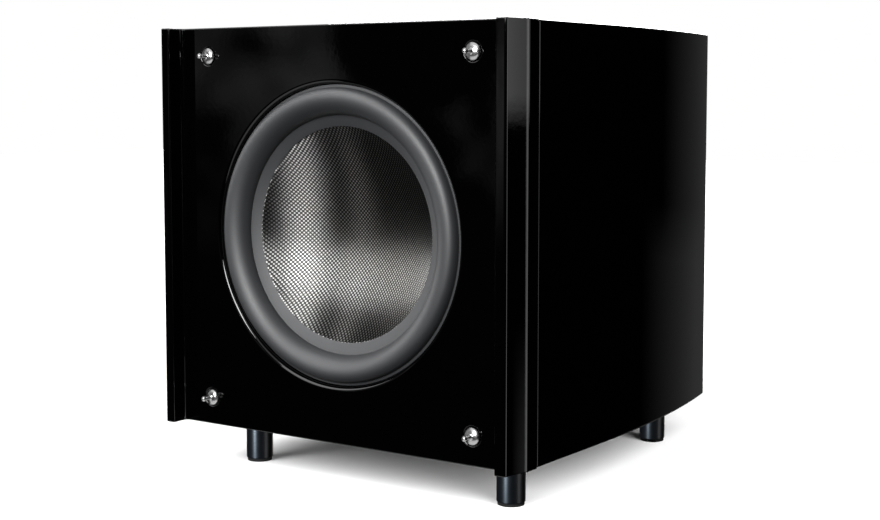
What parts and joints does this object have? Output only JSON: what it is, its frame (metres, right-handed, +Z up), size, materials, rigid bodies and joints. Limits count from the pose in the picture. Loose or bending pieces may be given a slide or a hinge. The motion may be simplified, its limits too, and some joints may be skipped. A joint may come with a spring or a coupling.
{
  "type": "powered subwoofer",
  "caption": "Sealed cube subwoofer in black piano lacquer on turned feet, with a dished woven cone, winged baffle, grille studs and a rear plate amplifier.",
  "frame": {"origin": "middle of the footprint, on the surface it stands on", "axes": "+Z up; the driver faces -Y and the amplifier faces +Y; +X is to the right when looking at the driver"},
  "size_m": [0.424, 0.4712, 0.45],
  "materials": {
    "piano_lacquer": "high-gloss black piano lacquer over MDF",
    "raw_board": "bare MDF",
    "bright_chrome": "polished chrome plate",
    "foot_metal": "satin black coated aluminium",
    "black_rubber": "matt black rubber",
    "surround_rubber": "satin dark grey butyl rubber",
    "woven_glass_fibre": "clear-coated silver woven glass fibre",
    "cast_frame": "textured black powder coat on cast aluminium",
    "suspension_cloth": "phenolic-treated cotton weave",
    "coil_former": "polyimide film",
    "copper_wire": "enamelled copper wire",
    "zinc_steel": "bright zinc-plated steel",
    "ferrite": "ground ferrite ceramic",
    "black_plastic": "fine-textured moulded black plastic",
    "amp_metal": "black anodised, fine brushed",
    "board_laminate": "green solder-masked laminate",
    "gold_plate": "gold-plated brass",
    "led_lens": "tinted clear lens",
    "red_insulation": "red PVC insulation over copper",
    "black_insulation": "black PVC insulation over copper",
    "wadding": "loose polyester wadding"
  },
  "bodies": {
    "enclosure": {"front_baffle": "piano_lacquer", "cabinet_left_side": "piano_lacquer", "cabinet_right_side": "piano_lacquer", "cabinet_top": "piano_lacquer", "cabinet_bottom": "piano_lacquer", "cabinet_back": "piano_lacquer", "window_brace": "raw_board", "grille_stud_lower_left": "bright_chrome", "grille_stud_lower_right": "bright_chrome", "grille_stud_upper_left": "bright_chrome", "grille_stud_upper_right": "bright_chrome", "foot_front_left": "foot_metal", "foot_front_right": "foot_metal", "foot_rear_left": "foot_metal", "foot_rear_right": "foot_metal", "foot_pad_front_left": "black_rubber", "foot_pad_front_right": "black_rubber", "foot_pad_rear_left": "black_rubber", "foot_pad_rear_right": "black_rubber", "driver_seal": "black_rubber", "amp_seal": "black_rubber", "surround": "surround_rubber", "driver_frame": "cast_frame", "spider": "suspension_cloth", "top_plate": "zinc_steel", "back_plate": "zinc_steel", "transformer_bolt": "zinc_steel", "level_potentiometer": "zinc_steel", "crossover_potentiometer": "zinc_steel", "driver_bolt_1": "zinc_steel", "driver_bolt_2": "zinc_steel", "driver_bolt_3": "zinc_steel", "driver_bolt_4": "zinc_steel", "driver_bolt_5": "zinc_steel", "driver_bolt_6": "zinc_steel", "magnet": "ferrite", "terminal_block": "black_plastic", "power_transformer": "black_plastic", "capacitor_left": "black_plastic", "capacitor_right": "black_plastic", "phase_switch_body": "black_plastic", "power_switch_housing": "black_plastic", "mains_inlet": "black_plastic", "amp_plate": "amp_metal", "heatsink": "amp_metal", "circuit_board": "board_laminate", "line_input_left": "gold_plate", "line_input_right": "gold_plate", "status_led": "led_lens", "driver_lead_positive": "red_insulation", "driver_lead_negative": "black_insulation", "damping_wadding": "wadding"},
    "moving_cone": {"cone": "woven_glass_fibre", "voice_coil_former": "coil_former", "voice_coil": "copper_wire"},
    "level_control": {"level_knob": "black_plastic"},
    "crossover_control": {"crossover_knob": "black_plastic"},
    "phase_control": {"phase_lever": "black_plastic"},
    "power_control": {"power_rocker": "black_plastic"}
  },
  "joints": [
    {"name": "cone_slide", "type": "slide", "parent": "enclosure", "child": "moving_cone", "axis": [0, -1, 0], "range_m": [-0.012, 0.012], "stiffness_N_per_m": 4500, "deforming": ["surround", "spider"]},
    {"name": "level_turn", "type": "hinge", "parent": "enclosure", "child": "level_control", "pos_m": [0.092, 0.21275, 0.354], "axis": [0, -1, 0], "range_deg": [-150, 150]},
    {"name": "crossover_turn", "type": "hinge", "parent": "enclosure", "child": "crossover_control", "pos_m": [0.036, 0.21275, 0.354], "axis": [0, -1, 0], "range_deg": [-150, 150]},
    {"name": "phase_slide", "type": "slide", "parent": "enclosure", "child": "phase_control", "axis": [0, 0, 1], "range_m": [0, 0.004]},
    {"name": "power_rock", "type": "hinge", "parent": "enclosure", "child": "power_control", "pos_m": [0.064, 0.20975, 0.204], "axis": [1, 0, 0], "range_deg": [0, 16]}
  ]
}
